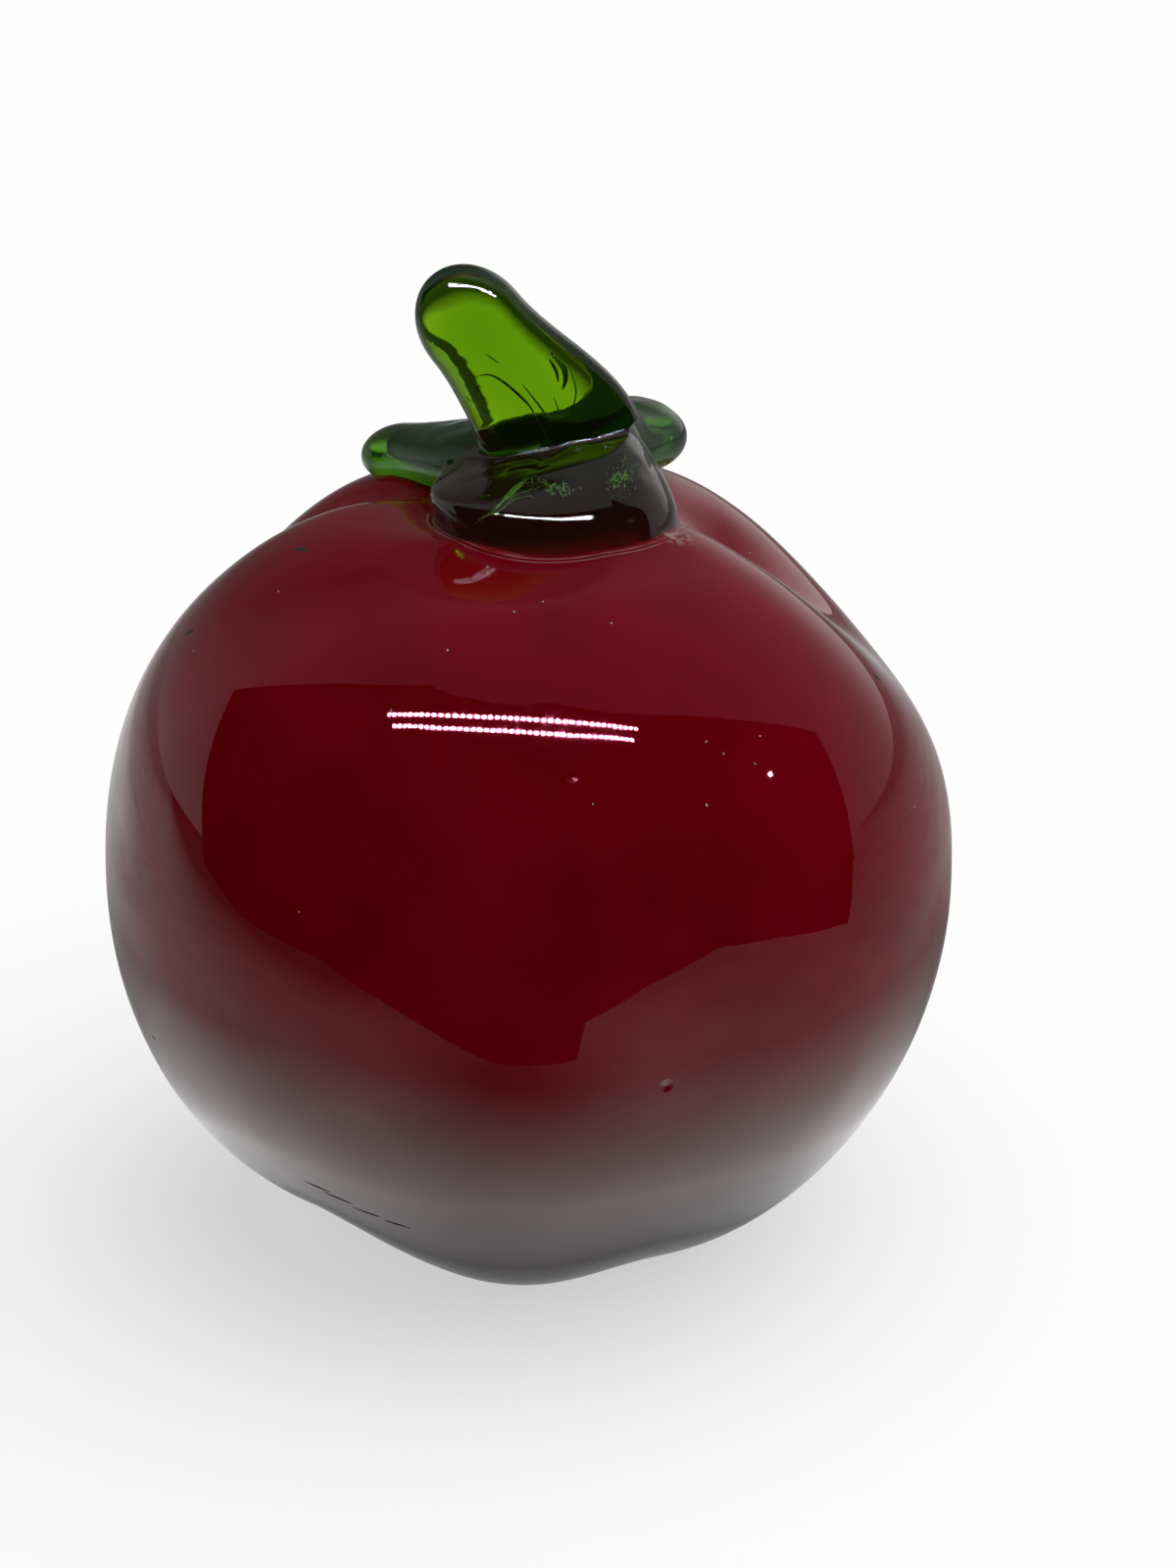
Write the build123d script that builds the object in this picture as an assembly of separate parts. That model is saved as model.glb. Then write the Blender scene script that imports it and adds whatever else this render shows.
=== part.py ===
"""Blown art glass apple, in millimetres: +Z up, the table at Z = 0, the front towards -Y.

The body is a blown bubble of ruby glass inside a clear gather, lobed and creased like a real
apple, with its foot ground flat. Hot green bits close the blow hole on top: a collar with a plug,
a flattened stem drawn up to the left, and two drops laid back over the rear lobes as leaves.
All the bits are fused, so each one is cut to the exact surface of what carries it.
"""

import math
import os

from build123d import *

# Body outline
BODY_DIAMETER = 90.0
EQUATOR_HEIGHT = 40.0
DOME_RISE = 44.0
FOOT_DIAMETER = 41.0
SHOULDER_FULLNESS = 2.2
BELLY_FULLNESS = 2.0
WELL_DEPTH = 6.0
WELL_RADIUS = 13.0

# Glass layers and the hole that the bubble was blown through
CASING_WALL = 2.0
CASING_FLOOR = 2.5
RUBY_WALL = 3.0
BLOW_HOLE_DIAMETER = 9.0

# Creases between the lobes: azimuth from the front towards +X and half width in degrees,
# then the depth on the shoulder and on the belly
CREASES = (
    (-110.0, 12.0, 4.8, 1.5),
    (-45.0, 22.0, 0.0, 2.8),
    (26.0, 18.0, 0.0, 1.2),
    (98.0, 23.0, 7.0, 0.8),
    (175.0, 22.0, 1.5, 1.5),
)
CREASE_START = math.radians(5.0)
CREASE_FULL = math.radians(60.0)
CREASE_FADE = math.radians(58.0)

# Sections of the body, from pole to pole
POLE_LATITUDE = math.radians(82.0)
SECTION_COUNT = 14
AZIMUTH_COUNT = 40
SEAM_AZIMUTH = math.radians(-150.0)

# Collar: a squashed bit over the stem well. Each station has its rise over the crest, its middle in
# X and Y, its half width and half depth, its tilt about X and Y in degrees, and its squareness: 2 is
# an ellipse, and more is a rounded box
COLLAR_STATIONS = (
    (-8.0, 4.2, -5.5, 11.8, 11.8, 0.0, 0.0, 2.0),
    (-3.6, 4.0, -5.3, 11.8, 12.1, 1.0, 2.0, 2.0),
    (1.4, 2.7, -3.9, 12.9, 13.0, 1.0, 5.0, 2.6),
    (4.2, 2.1, -1.8, 11.3, 11.3, -2.0, -5.0, 2.8),
    (6.2, 1.6, 0.2, 9.6, 9.6, 2.0, -11.0, 2.8),
)
COLLAR_POINT_COUNT = 16

# Drawn bits: root and tip are X and Y with a rise over the crest; the waist is half way, where the
# width and the thickness are measured, and the tip is round
STEM_ROOT = (5.5, -0.5, 4.0)
STEM_TIP = (-9.6, 2.5, 22.9)
STEM_ROOT_WIDTH = 13.6
STEM_WAIST_WIDTH = 12.8
STEM_TIP_WIDTH = 10.0
STEM_THICKNESS = 6.6
LEFT_LEAF_ROOT = (2.0, 2.5, 3.8)
LEFT_LEAF_TIP = (-16.6, 18.4, -0.2)
LEFT_LEAF_ROOT_WIDTH = 12.0
LEFT_LEAF_WAIST_WIDTH = 14.0
LEFT_LEAF_TIP_WIDTH = 9.0
LEFT_LEAF_THICKNESS = 8.0
RIGHT_LEAF_ROOT = (4.6, 5.4, 3.2)
RIGHT_LEAF_TIP = (14.3, 20.0, 2.2)
RIGHT_LEAF_ROOT_WIDTH = 11.0
RIGHT_LEAF_WAIST_WIDTH = 13.0
RIGHT_LEAF_TIP_WIDTH = 12.5
RIGHT_LEAF_THICKNESS = 8.2


def smooth_step(value, start, end):
    """0 before start, 1 after end, and an S-curve between them."""
    share = min(max((value - start) / (end - start), 0.0), 1.0)
    return share * share * (3.0 - 2.0 * share)


# Body


def belly_drop():
    """Depth of the belly under the equator that leaves a ground foot of FOOT_DIAMETER."""
    foot_share = (FOOT_DIAMETER / BODY_DIAMETER) ** BELLY_FULLNESS
    return EQUATOR_HEIGHT / (1.0 - foot_share) ** (1.0 / BELLY_FULLNESS)


def crease_depth(latitude, azimuth):
    """How far the creases press the surface in at one place."""
    on_shoulder = smooth_step(latitude, CREASE_START, CREASE_FULL)
    on_belly = smooth_step(-latitude, CREASE_START, CREASE_FULL)
    depth = 0.0
    for centre, half_width, shoulder_depth, belly_depth in CREASES:
        apart = (math.degrees(azimuth) - centre + 180.0) % 360.0 - 180.0
        across = math.exp(-((apart / half_width) ** 2))
        depth += across * (shoulder_depth * on_shoulder + belly_depth * on_belly)
    return depth * (1.0 - smooth_step(abs(latitude), CREASE_FADE, POLE_LATITUDE))


def apple_point(latitude, azimuth, inset, lowest):
    """A point of the apple's surface, taken in by inset, with its lower pole at height lowest."""
    if latitude >= 0.0:
        rise = DOME_RISE - inset
        fullness = SHOULDER_FULLNESS
    else:
        rise = EQUATOR_HEIGHT - lowest
        fullness = BELLY_FULLNESS
    reach = (BODY_DIAMETER / 2 - inset) * math.cos(latitude) ** (2.0 / fullness)
    lift = rise * abs(math.sin(latitude)) ** (2.0 / fullness)
    height = EQUATOR_HEIGHT + math.copysign(lift, latitude)
    if latitude > 0.0:
        height -= WELL_DEPTH * math.exp(-((reach / WELL_RADIUS) ** 2))
    depth = crease_depth(latitude, azimuth)
    reach -= depth * math.cos(latitude)
    height -= depth * math.sin(latitude)
    return Vector(reach * math.sin(azimuth), -reach * math.cos(azimuth), height)


def apple(inset, lowest):
    """The whole apple as one solid, lofted through rings of constant latitude."""
    rings = []
    for ring in range(SECTION_COUNT):
        latitude = POLE_LATITUDE * (2.0 * ring / (SECTION_COUNT - 1) - 1.0)
        points = [
            apple_point(latitude, SEAM_AZIMUTH + 2.0 * math.pi * step / AZIMUTH_COUNT, inset, lowest)
            for step in range(AZIMUTH_COUNT)
        ]
        rings.append(Wire(Edge.make_spline(points, periodic=True)))
    return Solid.make_loft(rings)


def crest_height():
    """Height of the rounded crest round the stem well, away from the creases."""
    return max(
        EQUATOR_HEIGHT
        + DOME_RISE * (1.0 - (2 * reach / BODY_DIAMETER) ** SHOULDER_FULLNESS) ** (1 / SHOULDER_FULLNESS)
        - WELL_DEPTH * math.exp(-((reach / WELL_RADIUS) ** 2))
        for reach in range(int(BODY_DIAMETER / 2))
    )


def ground_flat(solid):
    """Takes off what is under the table, as the grinding wheel does."""
    span = 2 * BODY_DIAMETER
    wheel = Box(span, span, BODY_DIAMETER, align=(Align.CENTER, Align.CENTER, Align.MAX))
    return solid - wheel


def blow_hole():
    """The round hole left by the pipe, from the cavity up past the well."""
    height = EQUATOR_HEIGHT + DOME_RISE
    return Pos(0, 0, EQUATOR_HEIGHT) * Cylinder(
        BLOW_HOLE_DIAMETER / 2, height, align=(Align.CENTER, Align.CENTER, Align.MIN)
    )


# Green bits


def rounded_box(half_width, half_depth, squareness):
    """A closed outline between an ellipse and a box, in its own plane."""
    points = []
    for step in range(COLLAR_POINT_COUNT):
        angle = 2.0 * math.pi * step / COLLAR_POINT_COUNT
        side = math.cos(angle)
        front = math.sin(angle)
        reach = (abs(side) ** squareness + abs(front) ** squareness) ** (-1.0 / squareness)
        points.append(Vector(half_width * reach * side, half_depth * reach * front, 0))
    return Wire(Edge.make_spline(points, periodic=True))


def collar_blank(crest):
    """The collar before it is seated: a stack of sections that leans and turns from belt to rim."""
    rings = []
    for rise, middle_x, middle_y, half_width, half_depth, tilt_x, tilt_y, squareness in COLLAR_STATIONS:
        place = Pos(middle_x, middle_y, crest + rise) * Rotation(tilt_x, tilt_y, 0)
        rings.append(place * rounded_box(half_width, half_depth, squareness))
    return Solid.make_loft(rings)


def drawn_bit(crest, root, tip, widths, thickness, facing):
    """A gather drawn out from root to tip: turned round its axis, then pressed flat along facing."""
    axis = Vector(*tip) - Vector(*root)
    root_radius, waist_radius, tip_radius = (width / 2 for width in widths)
    straight = axis.length - tip_radius
    waist_pull = (8 * waist_radius - root_radius - 4 * tip_radius) / 3
    taper = Bezier(
        (root_radius, 0, 0),
        (waist_pull, 0, straight / 3),
        (tip_radius, 0, straight * 2 / 3),
        (tip_radius, 0, straight),
    )
    nose = Plane.XZ * CenterArc((0, straight), tip_radius, 0, 90)
    outline = [
        Line((0, 0, 0), (root_radius, 0, 0)),
        taper,
        nose,
        Line((0, 0, axis.length), (0, 0, 0)),
    ]
    turned = revolve(make_face(outline), Axis.Z)
    pressed = scale(turned, by=(1, thickness / widths[1], 1))
    across = axis.cross(facing)
    seat = Plane(origin=Vector(*root) + Vector(0, 0, crest), x_dir=across, z_dir=axis)
    return seat * pressed


def build():
    crest = crest_height()
    outside = ground_flat(apple(0.0, EQUATOR_HEIGHT - belly_drop()))
    between = apple(CASING_WALL, CASING_FLOOR)
    cavity = apple(CASING_WALL + RUBY_WALL, CASING_FLOOR + RUBY_WALL)
    hole = blow_hole()

    collar_shape = collar_blank(crest)
    stem_widths = (STEM_ROOT_WIDTH, STEM_WAIST_WIDTH, STEM_TIP_WIDTH)
    stem_shape = drawn_bit(crest, STEM_ROOT, STEM_TIP, stem_widths, STEM_THICKNESS, Vector(0, 1, 0))
    left_widths = (LEFT_LEAF_ROOT_WIDTH, LEFT_LEAF_WAIST_WIDTH, LEFT_LEAF_TIP_WIDTH)
    left_shape = drawn_bit(
        crest, LEFT_LEAF_ROOT, LEFT_LEAF_TIP, left_widths, LEFT_LEAF_THICKNESS, Vector(0, 0, 1)
    )
    right_widths = (RIGHT_LEAF_ROOT_WIDTH, RIGHT_LEAF_WAIST_WIDTH, RIGHT_LEAF_TIP_WIDTH)
    right_shape = drawn_bit(
        crest, RIGHT_LEAF_ROOT, RIGHT_LEAF_TIP, right_widths, RIGHT_LEAF_THICKNESS, Vector(0, 0, 1)
    )

    plug = (hole - cavity) & outside
    return {
        "clear_casing": outside - (between + hole),
        "ruby_bulb": between - (cavity + hole),
        "stem_collar": (collar_shape - outside) + plug,
        "stem": stem_shape - collar_shape - outside,
        "left_leaf": left_shape - collar_shape - stem_shape - outside,
        "right_leaf": right_shape - collar_shape - stem_shape - left_shape - outside,
    }


os.makedirs("parts", exist_ok=True)
for name, shape in build().items():
    export_step(shape, f"parts/{name}.step")
    print(name, len(shape.solids()), "solid, volume", round(shape.volume))
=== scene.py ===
# %% [markdown]
# # An art glass apple
#
# The object is a paperweight from a hot shop: a bubble of ruby glass under a clear gather, tooled
# into the lobes of an apple, with green bits dropped on top as stem and leaves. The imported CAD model
# comes in as a frame of six solids that never move. The visible pieces are made over it in the same
# place, in metres.

# %% Load the frame
import math
import random

import bmesh
import bpy
import numpy as np
from mathutils import Matrix, Vector, noise
from mathutils.bvhtree import BVHTree


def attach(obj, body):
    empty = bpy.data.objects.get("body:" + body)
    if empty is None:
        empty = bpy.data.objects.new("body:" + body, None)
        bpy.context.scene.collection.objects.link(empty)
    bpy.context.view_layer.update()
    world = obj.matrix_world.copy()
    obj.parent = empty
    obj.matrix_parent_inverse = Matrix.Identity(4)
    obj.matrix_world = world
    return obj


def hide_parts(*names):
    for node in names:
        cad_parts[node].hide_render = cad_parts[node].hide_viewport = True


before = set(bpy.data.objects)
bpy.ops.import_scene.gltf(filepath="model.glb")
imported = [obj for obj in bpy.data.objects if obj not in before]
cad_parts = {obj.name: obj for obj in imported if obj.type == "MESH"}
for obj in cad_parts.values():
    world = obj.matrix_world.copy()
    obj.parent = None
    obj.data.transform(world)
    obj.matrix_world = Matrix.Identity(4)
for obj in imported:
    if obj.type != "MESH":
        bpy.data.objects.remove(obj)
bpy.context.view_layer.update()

# %% [markdown]
# ## Sizes of the body
#
# A glassblower thinks of an apple as a belly, a shoulder and a well round the stem. The sizes are
# those of the CAD model, so the skin lies on the solids. Azimuth is measured from the front, which
# faces -Y, towards +X. The creases are the furrows that the jacks press in between the lobes.

# %% Name the sizes
MM = 0.001
BODY_RADIUS = 45.0 * MM
EQUATOR_HEIGHT = 40.0 * MM
DOME_RISE = 44.0 * MM
FOOT_RADIUS = 20.5 * MM
SHOULDER_FULLNESS = 2.2
BELLY_FULLNESS = 2.0
WELL_DEPTH = 6.0 * MM
WELL_RADIUS = 13.0 * MM
BELLY_DROP = EQUATOR_HEIGHT / math.sqrt(1.0 - (FOOT_RADIUS / BODY_RADIUS) ** 2)

# Each crease: azimuth and half width in degrees, depth on the shoulder and on the belly in mm
CREASES = (
    (-110.0, 12.0, 4.8, 1.5),
    (-45.0, 22.0, 0.0, 2.8),
    (26.0, 18.0, 0.0, 1.2),
    (98.0, 23.0, 7.0, 0.8),
    (175.0, 22.0, 1.5, 1.5),
)
CREASE_START = math.radians(5.0)
CREASE_FULL = math.radians(60.0)
CREASE_FADE = math.radians(58.0)
POLE_LATITUDE = math.radians(82.0)
print("drop of the belly", round(BELLY_DROP / MM, 1), "mm")

# %% [markdown]
# ## The surface as a formula
#
# A lathe profile would give a round apple, and sculpting would give one that no one can change later.
# So a formula takes each crease off a rounded profile as a soft furrow. It works on whole arrays at
# once, so a fine mesh costs no time.


# %% Write the surface
def smooth_step(value, start, end):
    """0 before start, 1 after end, and an S-curve between them."""
    share = np.clip((value - start) / (end - start), 0.0, 1.0)
    return share * share * (3.0 - 2.0 * share)


def crease_depth(latitude, azimuth):
    """How far the jacks pressed the surface in, in metres."""
    on_shoulder = smooth_step(latitude, CREASE_START, CREASE_FULL)
    on_belly = smooth_step(-latitude, CREASE_START, CREASE_FULL)
    depth = 0.0
    for centre, half_width, shoulder_depth, belly_depth in CREASES:
        apart = (np.degrees(azimuth) - centre + 180.0) % 360.0 - 180.0
        across = np.exp(-((apart / half_width) ** 2))
        depth = depth + across * (shoulder_depth * on_shoulder + belly_depth * on_belly)
    return MM * depth * (1.0 - smooth_step(np.abs(latitude), CREASE_FADE, POLE_LATITUDE))


def apple_surface(latitude, azimuth):
    """Points of the apple's outside, as an array with X, Y and Z last."""
    on_dome = latitude >= 0.0
    power = np.where(on_dome, 2.0 / SHOULDER_FULLNESS, 2.0 / BELLY_FULLNESS)
    reach = BODY_RADIUS * np.cos(latitude) ** power
    lift = np.abs(np.sin(latitude)) ** power
    well = WELL_DEPTH * np.exp(-((reach / WELL_RADIUS) ** 2))
    height = EQUATOR_HEIGHT + np.where(on_dome, DOME_RISE * lift - well, -BELLY_DROP * lift)
    depth = crease_depth(latitude, azimuth)
    reach = reach - depth * np.cos(latitude)
    height = height - depth * np.sin(latitude)
    return np.stack((reach * np.sin(azimuth), -reach * np.cos(azimuth), height), axis=-1)


front = apple_surface(np.array(0.0), np.array(0.0))
print("front of the equator in mm", np.round(front / MM, 1))

# %% [markdown]
# ## A hand-blown surface
#
# Blown glass is never true. The wet block leaves broad swells, the last heat leaves fine ripples, and a
# paddle leaves a flat in front of the collar. Swells bend the edge of the mirrored dark window, ripples
# make the lamp line waver, and the flat mirrors the stem. A bump would do for the ripples alone, so all
# are real shape.

# %% Add swells, ripples and the paddle flat
WAVE_LENGTH = 24.0 * MM
WAVE_HEIGHT = 0.10 * MM
RIPPLE_LENGTH = 8.0 * MM
RIPPLE_HEIGHT = 0.030 * MM
STILL_ZONE = 8.0 * MM
# Each swell: its middle in X, Y and Z, its radius and its rise in mm
SWELLS = (
    (2.4, -44.9, 27.0, 11.0, 0.45),
    (16.9, -41.7, 54.0, 12.0, 0.40),
)
# The flat that a paddle pressed
PADDLE_PLACE = Vector((-3.5, -21.0, 78.8)) * MM
PADDLE_FACING = Vector((-0.04, -0.225, 0.974)).normalized()
PADDLE_EDGE = 0.06 * MM


def paddled(place):
    """A place pressed back to the paddle's plane if it stood out, with a soft edge."""
    over = (place - PADDLE_PLACE).dot(PADDLE_FACING)
    return place - PADDLE_FACING * ((over + math.sqrt(over * over + PADDLE_EDGE * PADDLE_EDGE)) / 2)


def waved(point):
    """A point of the true surface, moved in or out by the waves; the ground foot stays flat."""
    place = Vector(point)
    outward = (place - Vector((0.0, 0.0, EQUATOR_HEIGHT))).normalized()
    rise = WAVE_HEIGHT * noise.noise(place / WAVE_LENGTH)
    rise += RIPPLE_HEIGHT * noise.noise(place / RIPPLE_LENGTH)
    for x, y, z, radius, swell in SWELLS:
        apart = (place - Vector((x, y, z)) * MM).length
        rise += swell * MM * math.exp(-((apart / (radius * MM)) ** 2))
    return paddled(place + outward * (rise * smooth_step(place.z, 0.0, STILL_ZONE)))


print("front moved by", round((waved(front) - Vector(front)).length / MM, 2), "mm")

# %% [markdown]
# ## Tools for meshes
#
# Every piece here starts as a skin of rings: the body, the collar, the drawn bits, even a thread or a
# grain of dust. Blender's own cylinder has straight sides, so small helpers join rings with quads,
# close both ends and put several such shapes into one mesh.


# %% Helpers for meshes
def placed(name, data):
    """An object in the scene with the given mesh, light or camera."""
    obj = bpy.data.objects.new(name, data)
    bpy.context.scene.collection.objects.link(obj)
    return obj


def new_object(name, points, faces):
    """A smooth-shaded mesh object in the scene."""
    mesh = bpy.data.meshes.new(name)
    mesh.from_pydata([tuple(point) for point in points], [], faces)
    mesh.shade_smooth()
    return placed(name, mesh)


def tube_faces(rings, around):
    """Quads between rings of the same count, then a fan at each end to one more point."""
    faces = []
    for ring in range(rings - 1):
        for step in range(around):
            after = (step + 1) % around
            faces.append((ring * around + step, ring * around + after,
                          (ring + 1) * around + after, (ring + 1) * around + step))
    bottom = rings * around
    last = (rings - 1) * around
    for step in range(around):
        after = (step + 1) % around
        faces.append((bottom, after, step))
        faces.append((bottom + 1, last + step, last + after))
    return faces


def joined(shapes):
    """Several lots of points and faces as one."""
    points = []
    faces = []
    for more_points, more_faces in shapes:
        first = len(points)
        points += more_points
        faces += [tuple(first + corner for corner in face) for face in more_faces]
    return points, faces


print("faces of a tube of 3 rings by 4", len(tube_faces(3, 4)))

# %% [markdown]
# ## The body
#
# Rings of points from foot to top are the plainest way to a clean closed mesh. Each meridian starts
# where the grinding wheel met it, so the foot gets a wavy edge, a small bevel and a flat face. One skin
# stands for the clear casing and the ruby bubble, because the ruby is too dense to see into.

# %% Blow the body
AROUND = 360
RINGS = 220
TOP_LATITUDE = math.radians(88.0)
LOWEST_TRIAL = -math.radians(89.0)
TRIAL_STEPS = 600
FOOT_BEVEL = 0.5 * MM
BEVEL_SLOPE = 1.5

azimuths = np.linspace(-math.pi, math.pi, AROUND, endpoint=False)
trial = np.linspace(LOWEST_TRIAL, 0.0, TRIAL_STEPS)
trial_heights = apple_surface(trial[:, None], azimuths[None, :])[..., 2]
foot_latitudes = np.array([np.interp(FOOT_BEVEL / 2, trial_heights[:, i], trial) for i in range(AROUND)])
shares = np.linspace(0.0, 1.0, RINGS)[:, None]
latitudes = foot_latitudes[None, :] + shares * (TOP_LATITUDE - foot_latitudes[None, :])
rings = apple_surface(latitudes, np.broadcast_to(azimuths, latitudes.shape))
foot_ring = rings[0].copy()
foot_ring[:, :2] *= 1.0 - BEVEL_SLOPE * FOOT_BEVEL / FOOT_RADIUS
foot_ring[:, 2] = 0.0
body_points = [waved(point) for point in np.concatenate((foot_ring[None], rings)).reshape(-1, 3)]
top_height = float(np.mean(rings[-1][:, 2]))
body_points += [Vector((0.0, 0.0, 0.0)), Vector((0.0, 0.0, top_height))]
body = new_object("apple_body", body_points, tube_faces(RINGS + 1, AROUND))
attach(body, "root")
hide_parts("clear_casing", "ruby_bulb")
body_tree = BVHTree.FromPolygons(body_points, [tuple(face.vertices) for face in body.data.polygons])
print("body", len(body.data.vertices), "points")

# %% [markdown]
# ## The collar
#
# The first green bit is dropped over the blow hole and squashed, so it spreads into a rounded box with
# flat sides, a belt and a leaning rim. A few sections stacked from the foot of the bit to its rim hold
# that, and a smooth curve runs through them. Heights count from the crest, the highest ring round the
# well, so the collar would follow a taller apple.

# %% Find the crest
reaches = np.arange(0.0, BODY_RADIUS, MM)
dome = DOME_RISE * (1.0 - (reaches / BODY_RADIUS) ** SHOULDER_FULLNESS) ** (1.0 / SHOULDER_FULLNESS)
dip = WELL_DEPTH * np.exp(-((reaches / WELL_RADIUS) ** 2))
CREST = round(float(np.max(EQUATOR_HEIGHT + dome - dip)), 5)


def over_crest(x, y, rise):
    """A place given in mm, with its height counted from the crest."""
    return Vector((x, y, rise)) * MM + Vector((0, 0, CREST))


print("crest at", round(CREST / MM, 2), "mm")


# %% Helpers for sections
def along(values, share):
    """A smooth curve through evenly spaced values, at a share from 0 to 1."""
    values = np.array(values)
    spot = share * (len(values) - 1)
    first = min(int(spot), len(values) - 2)
    t = spot - first
    before = values[max(first - 1, 0)]
    start = values[first]
    end = values[first + 1]
    beyond = values[min(first + 2, len(values) - 1)]
    pull_in = (end - before) / 2
    pull_out = (beyond - start) / 2
    return ((2 * t**3 - 3 * t**2 + 1) * start + (t**3 - 2 * t**2 + t) * pull_in
            + (-2 * t**3 + 3 * t**2) * end + (t**3 - t**2) * pull_out)


def section(around, squareness):
    """Shares of width and depth round a section: squareness 2 is a circle, more is a rounded box."""
    shares = []
    for angle in np.linspace(0.0, 2 * math.pi, around, endpoint=False):
        cosine = math.cos(angle)
        sine = math.sin(angle)
        size = (abs(cosine) ** squareness + abs(sine) ** squareness) ** (-1.0 / squareness)
        shares.append((cosine * size, sine * size))
    return shares


print("corner of a rounded box", np.round(section(8, 3.0)[1], 2))

# %% Squash the collar
# Each station: rise over the crest, middle in X and Y, half width and half depth in mm, tilt about X
# and Y in degrees, and squareness
COLLAR_STATIONS = (
    (-8.0, 3.8, -4.6, 11.8, 11.8, 0.0, 0.0, 2.0),
    (-3.6, 3.5, -4.4, 12.0, 12.2, 1.0, 2.0, 2.0),
    (-0.4, 2.9, -3.9, 12.6, 12.3, -2.0, 4.0, 2.1),
    (1.9, 2.6, -3.1, 12.3, 12.1, -5.0, 3.0, 2.2),
    (4.5, 2.5, -1.6, 10.0, 11.1, -2.0, -5.0, 2.6),
    (6.4, 2.1, 0.1, 8.4, 9.7, 2.0, -13.0, 3.0),
)
COLLAR_RINGS = 40
COLLAR_AROUND = 96


def collar_blank():
    """The squashed bit over the blow hole: rounded rings from under the well up to the rim."""
    points = []
    for share in np.linspace(0.0, 1.0, COLLAR_RINGS):
        rise, x, y, wide, deep, tilt_x, tilt_y, squareness = along(COLLAR_STATIONS, share)
        middle = over_crest(x, y, rise)
        tilt = Matrix.Rotation(math.radians(tilt_x), 3, "X") @ Matrix.Rotation(math.radians(tilt_y), 3, "Y")
        for side, depth in section(COLLAR_AROUND, squareness):
            points.append(middle + tilt @ Vector((wide * side, deep * depth, 0.0)) * MM)
    for end in (COLLAR_STATIONS[0], COLLAR_STATIONS[-1]):
        points.append(over_crest(end[1], end[2], end[0]))
    return points, tube_faces(COLLAR_RINGS, COLLAR_AROUND)


collar = collar_blank()
print("collar", len(collar[0]), "points")

# %% [markdown]
# ## The drawn bits
#
# The stem and the two leaves are gathers pulled out with tweezers, round at the tip and pressed flat
# one way. A bevelled curve can't be flattened by a different amount along its way, so one class makes
# all three from a root, a tip, three widths and three thicknesses.

# %% Shape a bit
BIT_RINGS = 24
NOSE_RINGS = 14
BIT_AROUND = 72


class Bit:
    """Where a drawn bit lies and how thick it is; places in mm, with the rise over the crest last."""

    def __init__(self, root, tip, widths, thicknesses, facing, nose, squareness):
        self.root = over_crest(*root)
        self.tip = over_crest(*tip)
        axis = self.tip - self.root
        self.length = axis.length
        self.up = axis.normalized()
        self.across = axis.cross(Vector(facing)).normalized()
        self.through = self.up.cross(self.across)
        self.widths = widths
        self.thicknesses = thicknesses
        self.nose = nose
        self.squareness = squareness

    def place(self, share, across, through):
        """A place in the bit: share of its length, then mm across it and through it."""
        on_axis = self.root + self.up * (self.length * share)
        return on_axis + self.across * across * MM + self.through * through * MM

    def blank(self):
        """Points and faces of the bit with its round nose."""
        straight = self.length - self.nose * self.widths[2] * MM / 2
        half_widths = self.halves(self.widths)
        half_thicknesses = self.halves(self.thicknesses)
        stations = list(zip(half_widths, half_thicknesses, np.linspace(0.0, straight, BIT_RINGS)))
        for angle in np.linspace(0.0, math.pi / 2, NOSE_RINGS)[1:-1]:
            rise = straight + (self.length - straight) * math.sin(angle)
            shrink = math.cos(angle)
            stations.append((half_widths[-1] * shrink, half_thicknesses[-1] * shrink, rise))
        points = []
        for half_width, half_thick, rise in stations:
            for side, depth in section(BIT_AROUND, self.squareness):
                points.append(self.root + self.up * rise + self.across * (half_width * side)
                              + self.through * (half_thick * depth))
        return points + [self.root, self.tip], tube_faces(len(stations), BIT_AROUND)

    def halves(self, sizes):
        """Half sizes along the bit: a cubic through root and waist that ends straight at the tip."""
        first, waist, last = (size * MM / 2 for size in sizes)
        pull = (8 * waist - first - 4 * last) / 3
        return [(1 - t) ** 3 * first + 3 * (1 - t) ** 2 * t * pull + (3 * (1 - t) * t * t + t**3) * last
                for t in np.linspace(0.0, 1.0, BIT_RINGS)]


print("rings in a bit", BIT_RINGS + NOSE_RINGS - 2)

# %% Draw the bits
tongue = Bit(root=(6.0, -0.5, 4.4), tip=(-9.4, 2.5, 23.0), widths=(14.2, 14.0, 11.0),
             thicknesses=(6.6, 6.2, 6.6), facing=(0, 1, 0), nose=1.2, squareness=2.6)
left_leaf = Bit(root=(2.0, 2.5, 3.8), tip=(-16.6, 18.4, -0.2), widths=(12.0, 14.0, 9.0),
                thicknesses=(9.0, 7.6, 6.2), facing=(0, 0, 1), nose=1.0, squareness=2.0)
right_leaf = Bit(root=(2.0, 1.5, 3.4), tip=(14.3, 20.0, 2.2), widths=(10.0, 13.0, 12.5),
                 thicknesses=(8.2, 8.4, 8.0), facing=(0, 0, 1), nose=1.0, squareness=2.0)
bits = (tongue, left_leaf, right_leaf)
print("lengths in mm", [round(bit.length / MM, 1) for bit in bits])

# %% [markdown]
# ## Fusing the green bits
#
# On the bench these four bits melt into one piece of glass with no inner walls. Four overlapping meshes
# would show walls, so they are joined, skinned as one by the voxel remesher and smoothed a little, as
# the torch does. The rim then gets the crinkles that tweezers leave where the stem was pulled out.

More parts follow.
